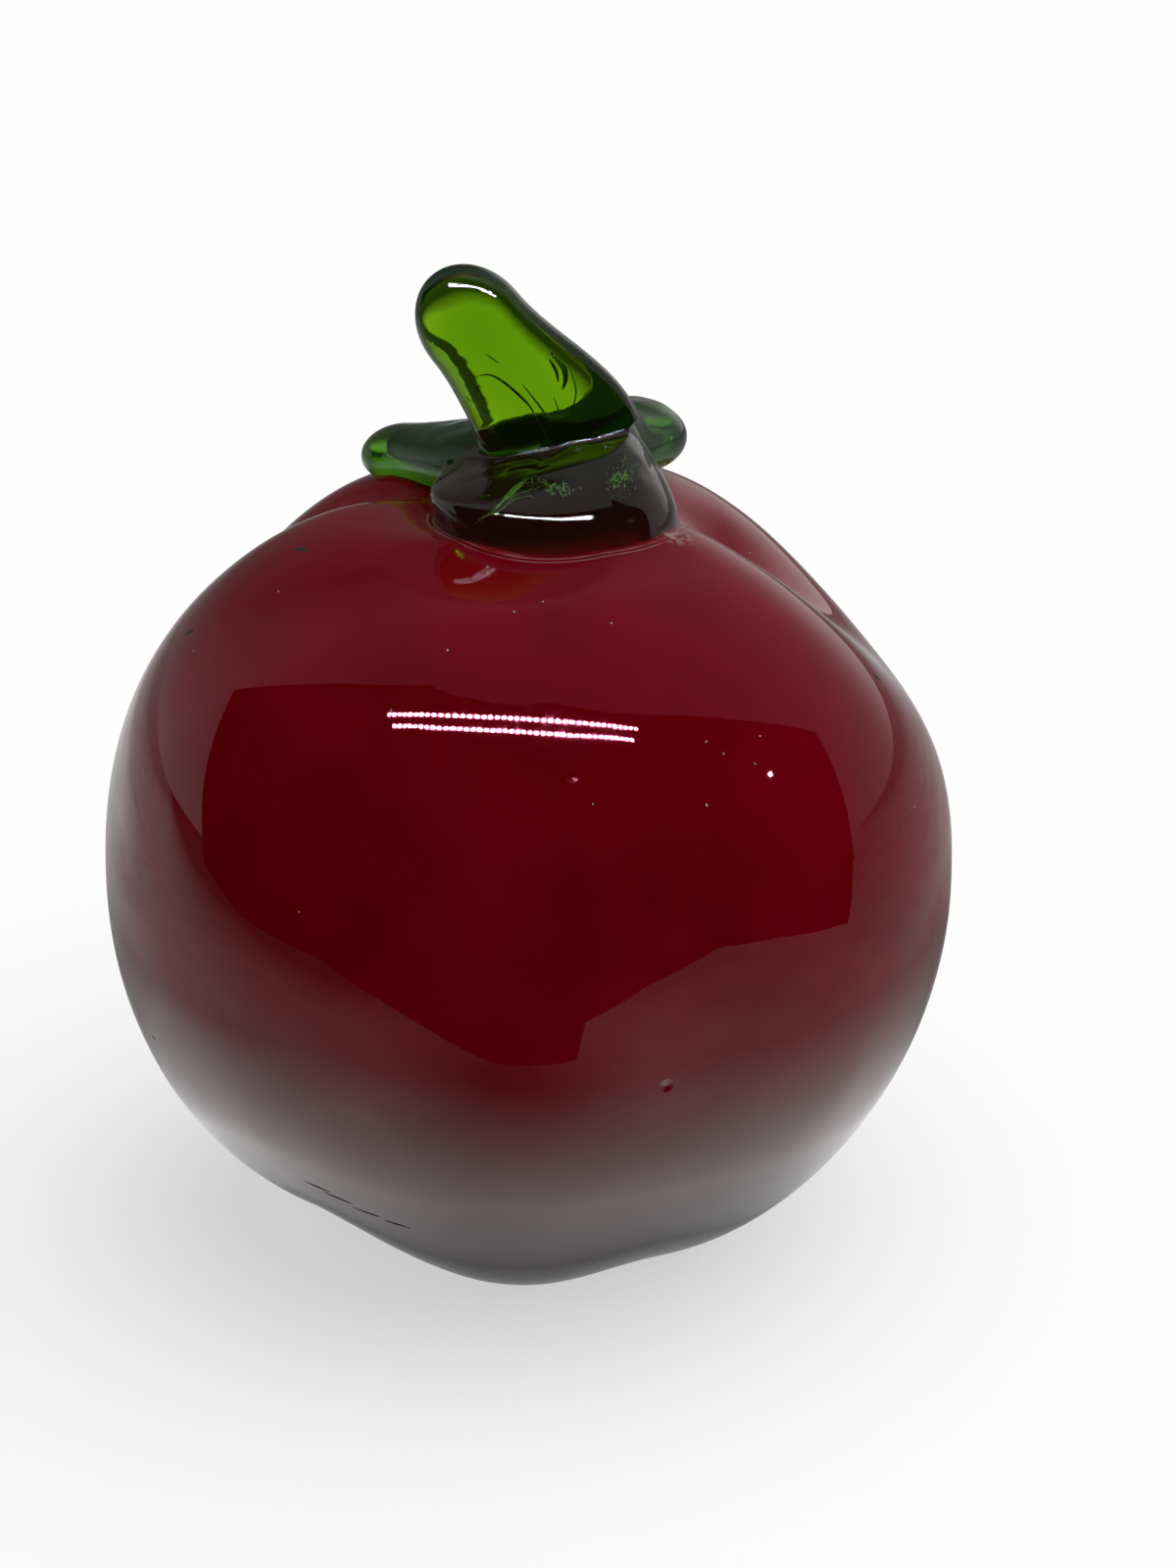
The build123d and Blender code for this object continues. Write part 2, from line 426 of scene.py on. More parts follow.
# %% Fuse the green bits
VOXEL = 0.25 * MM
FLOW_STEPS = 9
FLOW_SHARE = 0.5
CRINKLE_LENGTH = 2.4 * MM
CRINKLE_HEIGHT = 0.16 * MM
CRINKLE_LOW = CREST + 3.6 * MM
CRINKLE_HIGH = CREST + 9.0 * MM

hot = new_object("hot_bits", *joined([collar] + [bit.blank() for bit in bits]))
skin = hot.modifiers.new("skin", "REMESH")
skin.mode = "VOXEL"
skin.voxel_size = VOXEL
flow = hot.modifiers.new("flow", "SMOOTH")
flow.factor = FLOW_SHARE
flow.iterations = FLOW_STEPS
fused = bpy.data.meshes.new_from_object(hot.evaluated_get(bpy.context.evaluated_depsgraph_get()))
bpy.data.objects.remove(hot)
outwards = [vertex.normal.copy() for vertex in fused.vertices]
for vertex, outward in zip(fused.vertices, outwards):
    height = vertex.co.z
    if CRINKLE_LOW < height < CRINKLE_HIGH:
        share = math.sin(math.pi * (height - CRINKLE_LOW) / (CRINKLE_HIGH - CRINKLE_LOW))
        vertex.co += outward * (share * CRINKLE_HEIGHT * noise.noise(vertex.co / CRINKLE_LENGTH))
fused.shade_smooth()
stem = placed("green_stem", fused)
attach(stem, "root")
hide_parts("stem_collar", "stem", "left_leaf", "right_leaf")
print("green bits", len(fused.vertices), "points")

# %% [markdown]
# ## Threads in the stem
#
# Drawn glass holds cords: threads of slightly other glass that run along the pull and show as dark
# hairs when light comes through. Lines painted on the skin would be wrong from another side, so they
# are thin tapered tubes inside the stem, a little in front of its middle, with a near-black colour
# that is painted shade for the light the cords bend away.

# %% Lay the dark threads
THREAD_STEPS = 14
THREAD_AROUND = 8
THREAD_DEPTH = 1.4
HAIR_END = 0.08
# Each thread: radius in mm, then places as share of the stem's length and mm to the right of its axis
STEM_THREADS = (
    (0.13, (0.565, -2.63), (0.538, -1.59), (0.473, -0.96), (0.379, -0.59), (0.314, -0.57), (0.182, -1.23)),
    (0.1, (0.426, 0.32), (0.326, 0.27), (0.253, 0.13), (0.2, -0.3)),
    (0.07, (0.615, -0.6), (0.549, -0.14)),
    (0.07, (0.551, -3.37), (0.504, -3.5)),
    (0.06, (0.533, -4.8), (0.498, -4.7)),
    (0.28, (0.448, 4.4), (0.394, 4.5), (0.355, 4.4), (0.32, 3.8), (0.3, 3.05)),
    (0.16, (0.43, 3.9), (0.375, 3.7), (0.335, 3.2)),
    (0.08, (0.361, 5.0), (0.26, 4.0), (0.2, 2.2)),
    (0.06, (0.3, 1.9), (0.22, 1.3)),
)


def thread(places, radius):
    """A tube along a smooth curve through the places, drawn to a hair at both ends."""
    shares = np.linspace(0.0, 1.0, THREAD_STEPS)
    middles = [Vector(along(places, share)) for share in shares]
    points = []
    for step, share in enumerate(shares):
        before = middles[max(step - 1, 0)]
        after = middles[min(step + 1, THREAD_STEPS - 1)]
        run = (after - before).normalized()
        side = run.cross(Vector((0.0, 1.0, 0.0))).normalized()
        lift = side.cross(run)
        thick = radius * MM * math.sin(math.pi * (HAIR_END + (1.0 - 2.0 * HAIR_END) * share))
        for across, depth in section(THREAD_AROUND, 2.0):
            points.append(middles[step] + (side * across + lift * depth) * thick)
    return points + [middles[0], middles[-1]], tube_faces(THREAD_STEPS, THREAD_AROUND)


stem_threads = []
for radius, *spots in STEM_THREADS:
    places = [tongue.place(share, -right, THREAD_DEPTH) for share, right in spots]
    stem_threads.append(thread(places, radius))
cords = new_object("stem_threads", *joined(stem_threads))
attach(cords, "root")
print("threads in the stem", len(stem_threads))

# %% [markdown]
# ## Flecks in the collar
#
# The collar shows the same thing the other way round: bright hairs and mossy flecks just under its dark
# skin. A ray from the front finds the skin, and each hair lies a third of a millimetre under it. A
# seeded draw scatters them, so every run gives the same collar.

# %% Find the collar's skin
FLECK_DEPTH = 0.35 * MM
stem_points = [vertex.co for vertex in fused.vertices]
stem_tree = BVHTree.FromPolygons(stem_points, [tuple(face.vertices) for face in fused.polygons])


def under_skin(x, rise):
    """A place just under the collar's front, found by looking straight back at it."""
    start = Vector((x * MM, -BODY_RADIUS, CREST + rise * MM))
    spot, normal = stem_tree.ray_cast(start, Vector((0.0, 1.0, 0.0)))[:2]
    return spot - normal * FLECK_DEPTH


print("under the collar's front", [round(v / MM, 1) for v in under_skin(0.0, 3.0)])

# %% Lay the bright flecks
FLECK_RADIUS = 0.045
FLECK_REACH = (0.05, 0.22)
# The bundle runs down the collar's front through these places: X and height over the crest in mm
BUNDLE = ((1.2, 5.4), (-0.6, 5.0), (-2.6, 3.9), (-4.2, 2.8), (-5.4, 1.8))
BUNDLE_THREADS = 9
BUNDLE_PLACES = 5
LATEST_START = 0.45
SHORTEST_RUN = 0.25
BUNDLE_SPREAD = 0.75
BUNDLE_SHAKE = 0.08
# Mossy patches: X, height over the crest, spread in X and in height, and how many flecks
MOSS = (
    (2.6, 5.2, 2.2, 0.5, 50),
    (9.4, 5.6, 1.5, 1.1, 120),
)

draw = random.Random(7)
flecks = []
for number in range(BUNDLE_THREADS):
    first = draw.uniform(0.0, LATEST_START)
    last = draw.uniform(first + SHORTEST_RUN, 1.0)
    aside = draw.uniform(-BUNDLE_SPREAD, BUNDLE_SPREAD)
    line = [along(BUNDLE, share) for share in np.linspace(first, last, BUNDLE_PLACES)]
    places = [under_skin(x + aside, rise + aside + draw.uniform(-BUNDLE_SHAKE, BUNDLE_SHAKE))
              for x, rise in line]
    flecks.append(thread(places, FLECK_RADIUS))
for x, rise, spread_x, spread_rise, count in MOSS:
    for number in range(count):
        middle_x = x + draw.gauss(0.0, spread_x / 2)
        middle_rise = rise + draw.gauss(0.0, spread_rise / 2)
        lean = math.radians(draw.uniform(0.0, 180.0))
        reach = draw.uniform(*FLECK_REACH)
        line = [(middle_x + reach * step * math.cos(lean), middle_rise + reach * step * math.sin(lean))
                for step in (-1, 0, 1)]
        flecks.append(thread([under_skin(*place) for place in line], FLECK_RADIUS))
bright = new_object("collar_flecks", *joined(flecks))
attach(bright, "root")
print("flecks in the collar", len(flecks))

# %% [markdown]
# ## Marks of age
#
# The real apple has been handled: a few nicks on the shoulders and near the foot, and grains of
# dust. The nicks' near-black colour is painted shade in the dents. Painted marks would blur close up,
# so small meshes lie on the skin. One boat-shaped grain serves for both, laid where a level ray
# towards the axis meets the body.

# %% Shape a grain
GRAIN_RINGS = 7
GRAIN_AROUND = 8
GRAIN_END = 0.06


def on_skin(azimuth, height):
    """Place and outward direction on the body at an azimuth in degrees and a height in mm."""
    turn = math.radians(azimuth)
    axis_point = Vector((0.0, 0.0, height * MM))
    inward = Vector((-math.sin(turn), math.cos(turn), 0.0))
    return body_tree.ray_cast(axis_point - inward * 2 * BODY_RADIUS, inward)[:2]


def grain(azimuth, height, long, wide, thick, lean):
    """A flat boat-shaped grain on the skin, sizes in mm, leaning from the level by lean degrees."""
    spot, normal = on_skin(azimuth, height)
    level = Vector((0.0, 0.0, 1.0)).cross(normal).normalized()
    run = Matrix.Rotation(math.radians(lean), 3, normal) @ level
    side = normal.cross(run)
    points = []
    for share in np.linspace(GRAIN_END, 1.0 - GRAIN_END, GRAIN_RINGS):
        swell = math.sin(math.pi * share)
        middle = spot + run * (long * (share - 0.5) * MM)
        for across, depth in section(GRAIN_AROUND, 2.0):
            points.append(middle + side * (wide / 2 * swell * across * MM)
                          + normal * (thick / 2 * swell * depth * MM))
    ends = [spot + run * (long * (share - 0.5) * MM) for share in (0.0, 1.0)]
    return points + ends, tube_faces(GRAIN_RINGS, GRAIN_AROUND)


print("front, 60 mm up", [round(v / MM, 1) for v in on_skin(0.0, 60.0)[0]])

# %% Lay nicks and dust
NICK_THICKNESS = 0.16
DUST_THICKNESS = 0.06
# Nicks: azimuth in degrees, height, length and width in mm, and lean in degrees
NICKS = (
    (-70.0, 78.3, 2.4, 0.70, 20.0),
    (-77.0, 69.4, 2.2, 0.70, 40.0),
    (72.0, 65.4, 1.8, 0.60, -55.0),
    (-34.0, 18.9, 3.6, 0.18, -6.0),
    (-30.5, 18.1, 3.8, 0.16, -9.0),
    (-26.0, 17.0, 3.4, 0.18, -8.0),
    (-21.0, 16.2, 3.0, 0.14, -10.0),
)
# Dust in front: azimuth in degrees, height, length and width in mm
GRAINS = (
    (8.6, 63.4, 0.22, 0.18), (24.4, 62.2, 0.35, 0.25), (-3.0, 77.6, 0.25, 0.2), (3.4, 78.2, 0.25, 0.2),
    (-15.0, 74.9, 0.3, 0.2), (-22.0, 70.2, 0.25, 0.16), (17.0, 76.6, 0.3, 0.2), (29.0, 66.0, 0.3, 0.16),
    (33.5, 64.6, 0.28, 0.16), (36.0, 66.6, 0.25, 0.18), (26.8, 67.2, 0.4, 0.12), (-30.0, 52.0, 0.2, 0.16),
)
# More grains at the sides and behind, at random places
GRAINS_BEHIND = 14
BEHIND_AZIMUTHS = (60.0, 300.0)
BEHIND_HEIGHTS = (30.0, 76.0)
BEHIND_SIZE = (0.3, 0.18)

# The nicks' near-black colour is painted shade in the dents.
nicks = [grain(a, h, long, wide, NICK_THICKNESS, lean) for a, h, long, wide, lean in NICKS]
nick_object = new_object("nicks", *joined(nicks))
draw = random.Random(11)
dust_grains = []
for azimuth, height, long, wide in GRAINS:
    dust_grains.append(grain(azimuth, height, long, wide, DUST_THICKNESS, draw.uniform(0.0, 180.0)))
for number in range(GRAINS_BEHIND):
    azimuth = draw.uniform(*BEHIND_AZIMUTHS)
    height = draw.uniform(*BEHIND_HEIGHTS)
    dust_grains.append(grain(azimuth, height, *BEHIND_SIZE, DUST_THICKNESS, draw.uniform(0.0, 180.0)))
dust_object = new_object("dust_grains", *joined(dust_grains))
for piece in (nick_object, dust_object):
    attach(piece, "root")
print("nicks", len(NICKS), "grains of dust", len(dust_grains))

# %% [markdown]
# ## Tools for the finishes
#
# A finish that is one flat colour looks like plastic. These helpers join nodes in a few words each:
# a value that goes from one number to another, a sum of two values, a blend of two colours, a cloudy
# noise of a given size. They work from the place on the object and never from the camera.


# %% Helpers for values and colours
def new_finish(name):
    """A material with its node tree and its main shader."""
    material = bpy.data.materials.new(name)
    material.use_nodes = True
    return material, material.node_tree, material.node_tree.nodes["Principled BSDF"]


def set_inputs(node, values):
    """Sets plain values on a node's own sockets."""
    for name, value in values.items():
        node.inputs[name].default_value = value


def graded(tree, value, start, end, low=0.0, high=1.0):
    """Goes evenly from low to high while value goes from start to end, and stays there."""
    step = tree.nodes.new("ShaderNodeMapRange")
    set_inputs(step, {"From Min": start, "From Max": end, "To Min": low, "To Max": high})
    tree.links.new(value, step.inputs["Value"])
    return step.outputs["Result"]


def worked_out(tree, operation, first, second):
    """A sum, product or the like of two values, of which the second may be a plain number."""
    step = tree.nodes.new("ShaderNodeMath")
    step.operation = operation
    tree.links.new(first, step.inputs[0])
    if isinstance(second, float):
        step.inputs[1].default_value = second
    else:
        tree.links.new(second, step.inputs[1])
    return step.outputs["Value"]


def times(tree, first, second):
    """The product of two values."""
    return worked_out(tree, "MULTIPLY", first, second)


def blended(tree, share, first, second):
    """A colour between two; each is a plain colour or the result of another blend."""
    step = tree.nodes.new("ShaderNodeMix")
    step.data_type = "RGBA"
    tree.links.new(share, step.inputs["Factor"])
    for name, colour in (("A", first), ("B", second)):
        if isinstance(colour, tuple):
            step.inputs[name].default_value = colour + (1.0,)
        else:
            tree.links.new(colour, step.inputs[name])
    return step.outputs["Result"]


print("materials so far", len(bpy.data.materials))


# %% Helpers for the place on the surface
def clouds(tree, place, size, detail):
    """Soft noise from 0 to 1 with lumps of a given size."""
    step = tree.nodes.new("ShaderNodeTexNoise")
    set_inputs(step, {"Scale": 1.0 / size, "Detail": detail})
    tree.links.new(place, step.inputs["Vector"])
    return step.outputs["Fac"]


def distance(tree, place, centre):
    """How far a place is from a point."""
    step = tree.nodes.new("ShaderNodeVectorMath")
    step.operation = "DISTANCE"
    step.inputs[1].default_value = centre
    tree.links.new(place, step.inputs[0])
    return step.outputs["Value"]


def bumped(tree, height, depth, shader):
    """Dents and bumps from a height, where a height of 1 stands for depth metres."""
    step = tree.nodes.new("ShaderNodeBump")
    step.inputs["Distance"].default_value = depth
    tree.links.new(height, step.inputs["Height"])
    tree.links.new(step.outputs["Normal"], shader.inputs["Normal"])


def object_place(tree):
    """The place on the object, whole and as X, Y and Z."""
    spot = tree.nodes.new("ShaderNodeTexCoord")
    split = tree.nodes.new("ShaderNodeSeparateXYZ")
    tree.links.new(spot.outputs["Object"], split.inputs["Vector"])
    return spot.outputs["Object"], split.outputs


print("lumps of 1 mm need a noise scale of", round(1.0 / MM))

# %% [markdown]
# ## Ruby glass: the colour
#
# The ruby layer is so dense that no light comes through the apple, so a dark red ground does what a
# true volume would, without the noise. Wide clouds make it thicker and thinner, and it is painted darker
# towards the foot as shade. Chalky dust lies in the seam round the collar, in two thin lines and one
# patch, and the ruby under the collar is painted darker as the shade the collar casts.

# %% Ruby colour
RUBY_SHADED_FOOT = (0.016, 0.0002, 0.0010)
RUBY_THIN = (0.160, 0.0006, 0.0050)
RUBY_THICK = (0.125, 0.0004, 0.0030)
# Painted shade: the ruby under the green collar, which light hardly reaches.
COLLAR_SHADE = (0.04, 0.0002, 0.0005)
CHALK = (0.26, 0.18, 0.16)
FOOT_SHADE_HEIGHTS = (14.0 * MM, 40.0 * MM)
SEAM_CENTRE = (3.2 * MM, -4.2 * MM, 79.6 * MM)
SEAM_RADIUS = 12.4 * MM
SEAM_SOFTNESS = 0.6 * MM
SEAM_LINES = (0.35 * MM, 0.95 * MM)
LINE_HALF_WIDTHS = (0.03 * MM, 0.14 * MM)
RESIDUE_CENTRE = (14.6 * MM, -10.6 * MM, 79.8 * MM)
RESIDUE_REACH = (0.8 * MM, 2.4 * MM)
SPECKLE_SIZE = 0.9 * MM
PATCH_SIZE = 7.0 * MM
THINNESS_SIZE = 13.0 * MM

ruby, tree, glaze = new_finish("ruby_glass")
place, axes = object_place(tree)
from_seam = distance(tree, place, SEAM_CENTRE)
speckle = clouds(tree, place, SPECKLE_SIZE, 6.0)
patches = clouds(tree, place, PATCH_SIZE, 3.0)
thinness = graded(tree, clouds(tree, place, THINNESS_SIZE, 2.0), 0.35, 0.65)
ground = blended(tree, thinness, RUBY_THICK, RUBY_THIN)
# Painted shade: the red grows darker towards the foot.
ground = blended(tree, graded(tree, axes["Z"], *FOOT_SHADE_HEIGHTS), RUBY_SHADED_FOOT, ground)
# Painted shade under the collar.
collar_shade_share = graded(tree, from_seam, SEAM_RADIUS - SEAM_SOFTNESS, SEAM_RADIUS, 1.0, 0.0)
ground = blended(tree, collar_shade_share, ground, COLLAR_SHADE)
dusty = graded(tree, distance(tree, place, RESIDUE_CENTRE), *RESIDUE_REACH, 1.0, 0.0)
dusty = times(tree, dusty, graded(tree, speckle, 0.46, 0.60))
for out in SEAM_LINES:
    aside = worked_out(tree, "SUBTRACT", from_seam, SEAM_RADIUS + out)
    near_line = graded(tree, worked_out(tree, "ABSOLUTE", aside, 0.0), *LINE_HALF_WIDTHS, 1.0, 0.0)
    kept = graded(tree, patches, 0.42, 0.58, 0.05, 0.6)
    dusty = worked_out(tree, "MAXIMUM", dusty, times(tree, near_line, kept))
tree.links.new(blended(tree, dusty, ground, CHALK), glaze.inputs["Base Color"])
print("ruby colour", len(tree.nodes), "nodes")

# %% [markdown]
# ## Ruby glass: the gloss
#
# The clear casing gives a sharp gloss. High on the apple part of it comes back through the ruby and
# looks red, and near the foot and at the back it looks clear. One shader with a tinted gloss does that
# in place of two layers of glass. Hands leave it uneven: patches that are less sharp, a smear over the
# lamp line, and dull dust.

# %% Ruby gloss
GLOSS_LOW = (1.0, 0.95, 0.95)
GLOSS_HIGH = (1.0, 0.19, 0.36)
GLOSS_HEIGHTS = (46.0 * MM, 60.0 * MM)
GLOSS_LEAN = 0.22
GLOSS_BACK = (4.0 * MM, 20.0 * MM)
GLOSS_BACK_DROP = 34.0 * MM
SKIN_ROUGHNESS = (0.012, 0.035)
SMEAR_CENTRE = on_skin(2.0, 70.5)[0]
SMEAR_REACH = (2.0 * MM, 9.0 * MM)
SMEAR_ROUGHNESS = 0.04
DUST_ROUGHNESS = 0.6

leaning = worked_out(tree, "ADD", axes["Z"], times(tree, axes["X"], GLOSS_LEAN))
leaning = worked_out(tree, "SUBTRACT", leaning, graded(tree, axes["Y"], *GLOSS_BACK, 0.0, GLOSS_BACK_DROP))
redness = graded(tree, leaning, *GLOSS_HEIGHTS)
tree.links.new(blended(tree, redness, GLOSS_LOW, GLOSS_HIGH), glaze.inputs["Specular Tint"])
smear = graded(tree, distance(tree, place, SMEAR_CENTRE), *SMEAR_REACH, 1.0, 0.0)
smear = times(tree, smear, graded(tree, speckle, 0.45, 0.75))
rough = graded(tree, patches, 0.3, 0.8, *SKIN_ROUGHNESS)
rough = worked_out(tree, "ADD", rough, times(tree, smear, SMEAR_ROUGHNESS))
rough = worked_out(tree, "ADD", rough, times(tree, dusty, DUST_ROUGHNESS))
tree.links.new(rough, glaze.inputs["Roughness"])
glaze.inputs["IOR"].default_value = 1.5
print("smear at", [round(v / MM, 1) for v in SMEAR_CENTRE])

# %% [markdown]
# ## Ruby glass: broken bubbles
#
# Small bubbles in the gather broke open at the skin and left round pits. They are about a millimetre
# wide, so a bump in the finish is enough. A very faint speckle goes with them, for a skin that isn't
# quite polished.

# %% Ruby pits
# Broken bubbles: azimuth in degrees, height and radius in mm
PITS = ((6.0, 65.6, 0.55), (16.7, 35.7, 0.75), (-62.0, 30.0, 0.5), (140.0, 58.0, 0.6), (215.0, 44.0, 0.5))
PIT_DEPTH = 0.25 * MM
SPECKLE_SHARE = 0.006

relief = times(tree, speckle, SPECKLE_SHARE)
for azimuth, height, radius in PITS:
    from_pit = distance(tree, place, on_skin(azimuth, height)[0])
    relief = worked_out(tree, "SUBTRACT", relief, graded(tree, from_pit, 0.0, radius * MM, 1.0, 0.0))
bumped(tree, relief, PIT_DEPTH, glaze)
body.data.materials.append(ruby)
print("ruby finish", len(tree.nodes), "nodes")

# %% [markdown]
# ## Green glass
#
# This glass is clear right through, so its colour can't be a skin. The shader is clear glass and the
# colour sits in the volume: light loses blue and then red on the way, so thin parts are lime and thick
# ones almost black. A faint waviness bends what is seen through it. The little light that real glass
# scatters is slow to render, so a weak glow stands for it: brown over the ruby, faint in the stem and
# green in the leaves.

# %% Green finish
GREEN_TINT = (0.64, 0.79, 0.0)
GREEN_DENSITY = 980.0
GREEN_GLOSS = (0.8, 0.8, 0.8)
# Painted glow: the green glass gives off light of its own, though it is no lamp.
COLLAR_GLOW = (0.0080, 0.0022, 0.0018)
STEM_GLOW = (0.0018, 0.0030, 0.0006)
LEAF_GLOW = (0.0005, 0.0120, 0.0020)
STEM_HEIGHTS = (83.0 * MM, 88.0 * MM)
LEAF_DEPTHS = (-1.0 * MM, 2.5 * MM)
WAVINESS_SIZE = 3.0 * MM
WAVINESS_DEPTH = 0.05 * MM

green, tree, glass = new_finish("green_glass")
place, axes = object_place(tree)
set_inputs(glass, {
    "Base Color": (1.0, 1.0, 1.0, 1.0),
    "Roughness": 0.0,
    "IOR": 1.5,
    "Transmission Weight": 1.0,
    "Specular Tint": GREEN_GLOSS + (1.0,),
    "Emission Strength": 1.0,
})
glow = blended(tree, graded(tree, axes["Z"], *STEM_HEIGHTS), COLLAR_GLOW, STEM_GLOW)
glow = blended(tree, graded(tree, axes["Y"], *LEAF_DEPTHS), glow, LEAF_GLOW)
tree.links.new(glow, glass.inputs["Emission Color"])
bumped(tree, clouds(tree, place, WAVINESS_SIZE, 2.0), WAVINESS_DEPTH, glass)
absorb = tree.nodes.new("ShaderNodeVolumeAbsorption")
set_inputs(absorb, {"Color": GREEN_TINT + (1.0,), "Density": GREEN_DENSITY})
tree.links.new(absorb.outputs["Volume"], tree.nodes["Material Output"].inputs["Volume"])
stem.data.materials.append(green)
print("green finish", len(tree.nodes), "nodes")

# %% [markdown]
# ## Threads, flecks, nicks and dust
#
# These marks are too small for a finish of many parts, but one flat colour would look drawn on. So each
# wanders between two colours in small clouds, and one function makes all four.


# %% Small finishes
def mottled(name, first, second, size, roughness):
    """A dull finish that wanders between two colours."""
    material, tree, shader = new_finish(name)
    place = object_place(tree)[0]
    share = graded(tree, clouds(tree, place, size, 3.0), 0.35, 0.65)
    tree.links.new(blended(tree, share, first, second), shader.inputs["Base Color"])
    shader.inputs["Roughness"].default_value = roughness
    return material


# Each finish: the piece, a name, two colours, the size of the clouds and the roughness
for piece, name, first, second, size, roughness in (
    # Near-black threads: painted shade for the light the cords and folds bend away.
    (cords, "dark_thread", (0.002, 0.012, 0.001), (0.012, 0.05, 0.004), 1.0 * MM, 0.3),
    (bright, "lime_fleck", (0.01, 0.05, 0.004), (0.09, 0.26, 0.03), 0.6 * MM, 0.4),
    (nick_object, "nick_shadow", (0.002, 0.001, 0.001), (0.012, 0.003, 0.003), 0.4 * MM, 0.4),
    (dust_object, "dust", (0.22, 0.13, 0.12), (0.48, 0.38, 0.35), 0.2 * MM, 0.8),
):
    piece.data.materials.append(mottled(name, first, second, size, roughness))
print("materials", [material.name for material in bpy.data.materials])

# %% [markdown]
# ## Tools for the stage
#
# Glass is mostly what it reflects, so the stage matters as much as the finish. A photographer moves
# cards and lamps until each reflection sits right. In Blender a piece of the stage can also be hidden
# from some rays. Rays that come through glass count as glossy too, so one helper tells them from the
# rays that glass mirrors.


# %% Helpers for the stage
def seen_by(obj, camera=False, diffuse=False, glossy=True, transmission=True, shadow=False):
    """Which rays meet a piece of the stage."""
    obj.visible_camera = camera
    obj.visible_diffuse = diffuse
    obj.visible_glossy = glossy
    obj.visible_transmission = transmission
    obj.visible_shadow = shadow


def sorted_rays(tree):
    """All kinds of rays, those that came through glass, and those that glass mirrored."""
    kinds = tree.nodes.new("ShaderNodeLightPath").outputs
    through = kinds["Is Transmission Ray"]
    not_through = graded(tree, through, 0.0, 1.0, 1.0, 0.0)
    return kinds, through, times(tree, kinds["Is Glossy Ray"], not_through)


# %% [markdown]
# ## The sheet in the gloss
#
# The apple stands on a white sheet, and the lower belly mirrors it. Its light is uneven: dark in the
# apple's own shade, bright in a ring round it and weaker far away. A few soft factors by place,
# multiplied, give that, and clouds stand for wrinkles. They act on mirrored rays alone, so the sheet
# stays plain to the eye.

# %% Grade the sheet's light
WRINKLE_SIZE = 0.035
CORNER_LEAN = 0.5
# Points on the sheet, in metres, that a factor is measured from
SHEET_MARKS = {
    "foot": (0.0, 0.0, 0.0),
    "front shade": (-0.01, -0.11, 0.0),
    "left gleam": (-0.15, 0.17, 0.0),
    "left edge": (-0.048, 0.045, 0.0),
    "right edge": (0.055, 0.050, 0.0),
}
# Each factor: what is measured, from where to where in metres, and the factor at both ends
SHEET_FACTORS = (
    ("foot", 0.028, 0.043, 0.28, 1.45),
    ("foot", 0.043, 0.1, 1.0, 0.36),
    ("front shade", 0.01, 0.06, 0.2, 1.0),
    ("to the right", 0.03, 0.1, 1.0, 0.75),
    ("left gleam", 0.04, 0.1, 1.6, 1.0),
    ("to the back", 0.25, 0.6, 1.0, 0.5),
    ("left edge", 0.02, 0.06, 0.3, 1.0),
    ("right edge", 0.02, 0.06, 0.3, 1.0),
    ("front corner", -0.21, -0.09, 0.15, 1.0),
)

sheet, tree, matt = new_finish("white_sheet")
place, axes = object_place(tree)
measures = {name: distance(tree, place, mark) for name, mark in SHEET_MARKS.items()}
measures["to the right"] = axes["X"]
measures["to the back"] = axes["Y"]
leaning = times(tree, axes["X"], CORNER_LEAN)
measures["front corner"] = worked_out(tree, "ADD", axes["Y"], leaning)
pool = graded(tree, clouds(tree, place, WRINKLE_SIZE, 2.0), 0.3, 0.7, 0.9, 1.1)
for name, start, end, low, high in SHEET_FACTORS:
    pool = times(tree, pool, graded(tree, measures[name], start, end, low, high))
print("factors of the light", len(SHEET_FACTORS))

# %% [markdown]
# ## The sheet to the eye
#
# The camera sees the sheet as plain white with a soft shadow on it. What shows through the green stem is
# the sheet some way behind, so for those rays it has a bright patch on each of four sides and is dark
# between. That gives the stem a lime heart and dark rims, as a lamp behind the glass does on a stage.

# %% Brighten the sheet
SHEET_COLOUR = (0.5, 0.5, 0.5)
GLOW_EVERYWHERE = 0.10
GLOW_FOR_EYE = 0.47
BACKLIGHT = 0.48
BACKLIGHT_CENTRES = ((0.0, 0.45, 0.0), (0.55, -0.05, 0.0), (-0.55, -0.05, 0.0), (0.0, -0.55, 0.0))
BACKLIGHT_REACH = (0.21, 0.30)
BACKLIGHT_BETWEEN = 0.08

set_inputs(matt, {"Roughness": 1.0, "Specular IOR Level": 0.0, "Emission Color": (1.0, 1.0, 1.0, 1.0)})
rays, through, mirrored = sorted_rays(tree)
off_eye = worked_out(tree, "MAXIMUM", rays["Is Glossy Ray"], through)
tree.links.new(blended(tree, off_eye, SHEET_COLOUR, (0.0, 0.0, 0.0)), matt.inputs["Base Color"])
lit_behind = graded(tree, through, 0.0, 1.0, 1.0, BACKLIGHT_BETWEEN)
for centre in BACKLIGHT_CENTRES:
    patch = graded(tree, distance(tree, place, centre), *BACKLIGHT_REACH, 1.0, 0.0)
    lit_behind = worked_out(tree, "MAXIMUM", lit_behind, patch)
watched = worked_out(tree, "MAXIMUM", rays["Is Camera Ray"], through)
plain = graded(tree, watched, 0.0, 1.0, GLOW_EVERYWHERE, GLOW_EVERYWHERE + GLOW_FOR_EYE)
plain = worked_out(tree, "ADD", plain, graded(tree, through, 0.0, 1.0, 0.0, BACKLIGHT))
glow = times(tree, plain, graded(tree, mirrored, 0.0, 1.0, 1.0, 0.0))
glow = times(tree, glow, lit_behind)
glow = worked_out(tree, "ADD", glow, times(tree, pool, mirrored))
